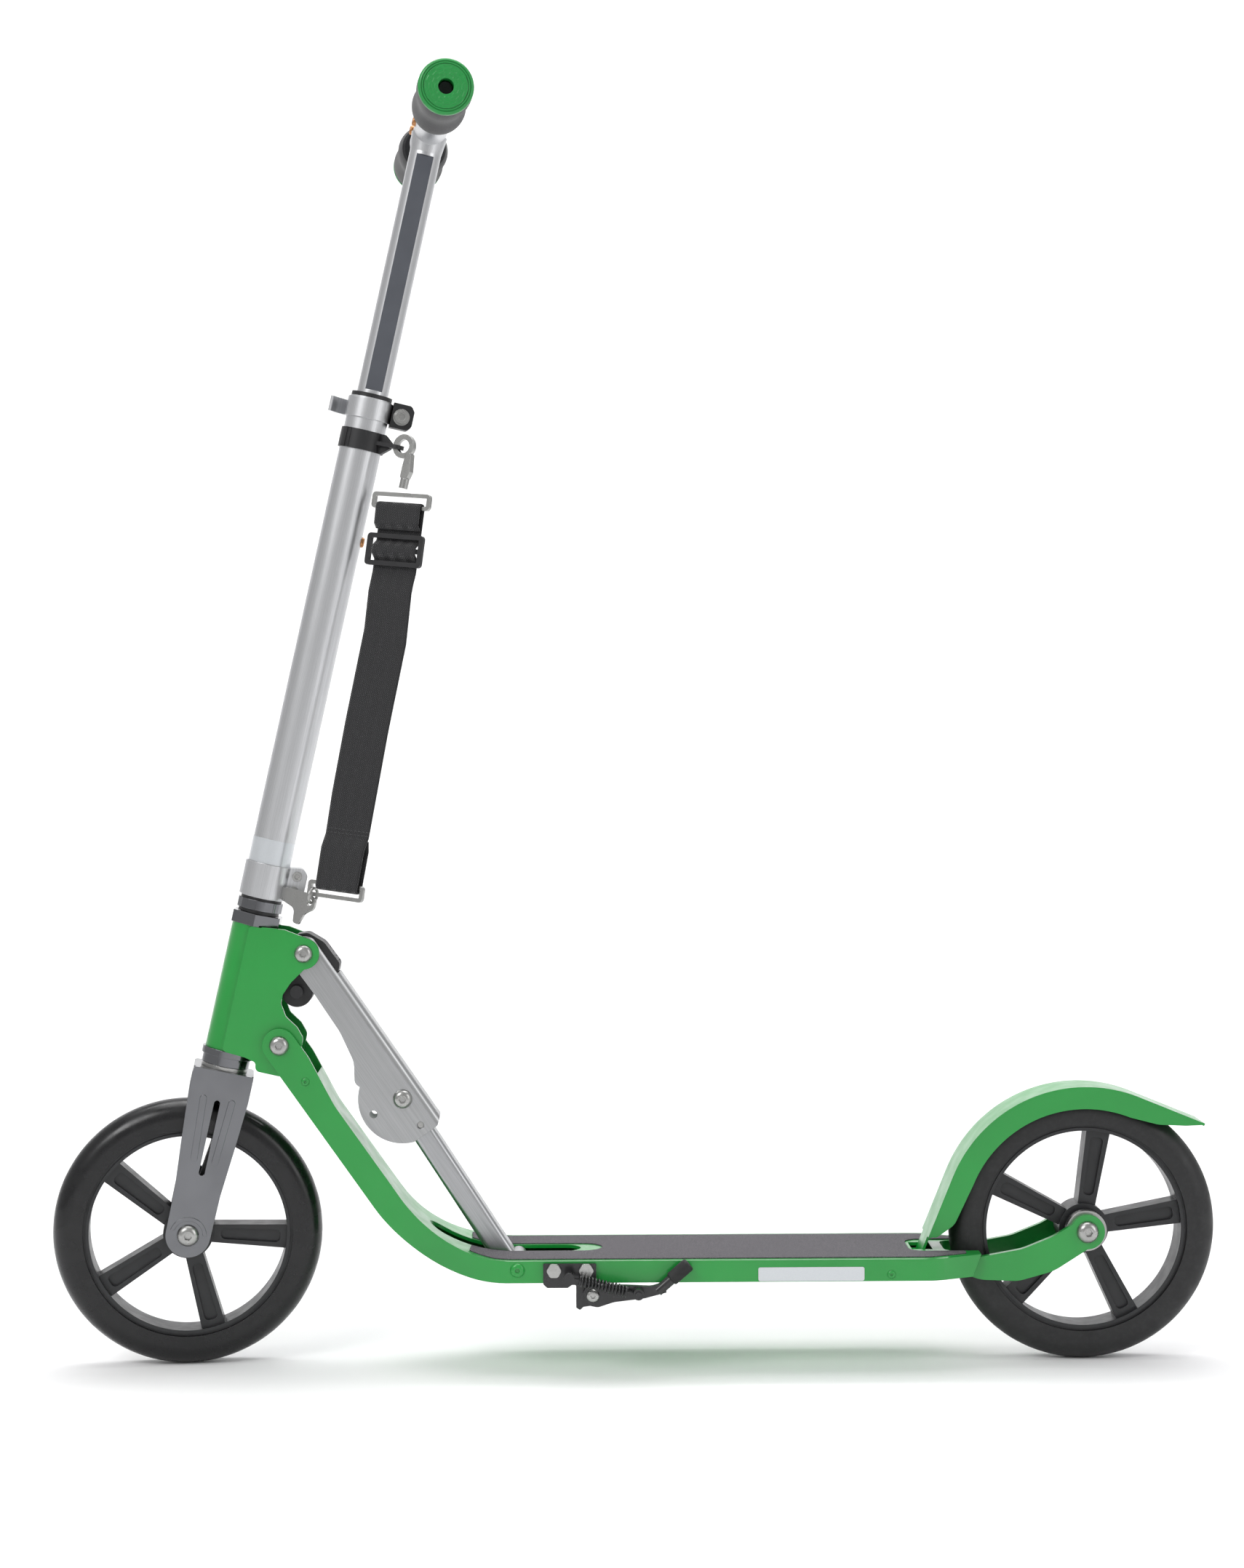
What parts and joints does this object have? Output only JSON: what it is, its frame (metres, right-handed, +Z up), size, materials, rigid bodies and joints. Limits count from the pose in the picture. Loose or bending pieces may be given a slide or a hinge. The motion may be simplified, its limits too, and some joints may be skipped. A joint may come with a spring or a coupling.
{
  "type": "folding kick scooter",
  "caption": "Folding two-wheeled kick scooter with telescopic T-bar, hinged knee strut, fender brake, kickstand and shoulder strap.",
  "frame": {"origin": "on the floor, under the middle of the overall box", "axes": "+X riding direction, +Y rider's left, +Z up"},
  "size_m": [0.892, 0.3766, 0.9663],
  "materials": {
    "green_paint": "satin powder coat",
    "grip_tape": "gritty matt",
    "silver_alloy": "satin anodised",
    "steel": "satin",
    "chrome": "polished",
    "black_plastic": "matt",
    "black_steel": "satin black",
    "tyre": "satin urethane",
    "wheel_core": "satin nylon",
    "foam": "soft foam",
    "green_plastic": "satin",
    "brass": "polished",
    "webbing": "woven nylon",
    "reflective": "reflective film",
    "dark_inlay": "metallic dark grey",
    "rubber": "matt",
    "cord": "braided"
  },
  "bodies": {
    "frame": {"deck_frame": "green_paint", "grip_tape": "grip_tape", "rear_arms": "green_paint", "deck_rivets": "green_paint", "side_stickers": "reflective", "fender_hinge": "steel", "fold_bolt": "steel", "rear_axle": "steel", "kick_bracket": "black_steel", "kick_bolts": "steel"},
    "head": {"head_bracket": "green_paint", "strut_bolt": "steel", "stop_roller": "black_plastic", "headset_cups": "chrome"},
    "strut_top": {"upper_strut": "silver_alloy", "strut_pins": "steel"},
    "strut_foot": {"lower_strut": "silver_alloy", "knee_pins": "steel"},
    "strut_lever": {"release_lever": "black_plastic"},
    "steering": {"fork": "chrome", "headset_bearings": "steel", "headset_seals": "black_plastic", "lock_nut": "chrome", "front_axle": "steel", "lower_stem": "silver_alloy", "stem_clamp": "silver_alloy", "clamp_bolts": "steel", "stem_band": "reflective", "stem_sleeve": "black_plastic", "strap_clip": "black_plastic", "release_band": "silver_alloy", "release_block": "black_plastic", "release_bolt": "steel", "upper_hook": "steel", "strap_metal": "steel", "tri_glide": "black_plastic", "webbing": "webbing"},
    "height_button": {"stem_button": "brass"},
    "height_lever": {"clamp_lever": "silver_alloy"},
    "t_bar": {"upper_stem": "silver_alloy", "stem_inlays": "dark_inlay", "elastic_cord": "cord"},
    "left_handle": {"bar_left": "silver_alloy", "grip_left": "foam", "end_cap_left": "green_plastic"},
    "right_handle": {"bar_right": "silver_alloy", "grip_right": "foam", "end_cap_right": "green_plastic"},
    "left_button": {"tee_button_left": "brass"},
    "right_button": {"tee_button_right": "brass"},
    "front_wheel": {"front_tyre": "tyre", "front_core": "wheel_core", "front_bearings": "steel"},
    "rear_wheel": {"rear_tyre": "tyre", "rear_core": "wheel_core", "rear_bearings": "steel"},
    "brake": {"fender_brake": "green_paint"},
    "kickstand": {"kick_leg": "black_steel", "kick_foot": "rubber", "kick_spring": "black_steel"}
  },
  "joints": [
    {"name": "fold", "type": "hinge", "parent": "frame", "child": "head", "pos_m": [0.27125, 0, 0.2469], "axis": [0, -1, 0], "range_deg": [0, 75]},
    {"name": "strut_top_turn", "type": "hinge", "parent": "head", "child": "strut_top", "pos_m": [0.25275, 0, 0.3165], "axis": [0, -1, 0], "range_deg": [-124.4, 0]},
    {"name": "strut_foot_turn", "type": "hinge", "parent": "frame", "child": "strut_foot", "pos_m": [0.09035, 0, 0.0802], "axis": [0, -1, 0], "range_deg": [0, 44.8]},
    {"name": "strut_release", "type": "hinge", "parent": "strut_top", "child": "strut_lever", "pos_m": [0.24703, 0, 0.32407], "axis": [0, 1, 0], "range_deg": [0, 20], "stiffness_Nm_per_rad": 0.2, "springref_deg": -11.46},
    {"name": "steer", "type": "hinge", "parent": "head", "child": "steering", "pos_m": [0.3437, 0, 0.1025], "axis": [0.22, 0, -0.9755], "range_deg": [-38.9, 51]},
    {"name": "front_wheel_spin", "type": "hinge", "parent": "steering", "child": "front_wheel", "pos_m": [0.3437, 0, 0.1025], "axis": [-0.1028, 0.9944, -0.0232], "continuous": true},
    {"name": "rear_wheel_spin", "type": "hinge", "parent": "frame", "child": "rear_wheel", "pos_m": [-0.3438, 0, 0.1025], "axis": [0, 1, 0], "continuous": true},
    {"name": "height_button_press", "type": "slide", "parent": "steering", "child": "height_button", "axis": [0.9701, 0.1054, 0.2188], "range_m": [0, 0.0019], "stiffness_N_per_m": 300, "springref_m": -0.002},
    {"name": "height_lever_turn", "type": "hinge", "parent": "steering", "child": "height_lever", "pos_m": [0.17983, -0.02054, 0.72469], "axis": [0.22, 0, -0.9755], "range_deg": [0, 110]},
    {"name": "height_slide", "type": "slide", "parent": "steering", "child": "t_bar", "axis": [-0.22, 0, 0.9755], "range_m": [-0.17, 0.08]},
    {"name": "left_handle_pull", "type": "slide", "parent": "t_bar", "child": "left_handle", "axis": [-0.1028, 0.9944, -0.0232], "range_m": [0, 0.03]},
    {"name": "right_handle_pull", "type": "slide", "parent": "t_bar", "child": "right_handle", "axis": [0.1028, -0.9944, 0.0232], "range_m": [0, 0.03]},
    {"name": "left_button_press", "type": "slide", "parent": "t_bar", "child": "left_button", "axis": [-0.9701, -0.1054, -0.2188], "range_m": [0, 0.0025], "stiffness_N_per_m": 300, "springref_m": -0.002},
    {"name": "right_button_press", "type": "slide", "parent": "t_bar", "child": "right_button", "axis": [-0.9701, -0.1054, -0.2188], "range_m": [0, 0.0025], "stiffness_N_per_m": 300, "springref_m": -0.002},
    {"name": "brake_press", "type": "hinge", "parent": "frame", "child": "brake", "pos_m": [-0.216, 0, 0.07875], "axis": [0, -1, 0], "range_deg": [0, 2], "stiffness_Nm_per_rad": 8, "springref_deg": -3.44},
    {"name": "kickstand_swing", "type": "hinge", "parent": "frame", "child": "kickstand", "pos_m": [0.0337, 0.0595, 0.0624], "axis": [0, -1, 0], "range_deg": [0, 100], "deforming": ["kick_spring"]}
  ],
  "couplings": [
    {"joint": "strut_top_turn", "follows": "fold", "ratio": -1.6574},
    {"joint": "strut_foot_turn", "follows": "fold", "ratio": 0.59557}
  ]
}
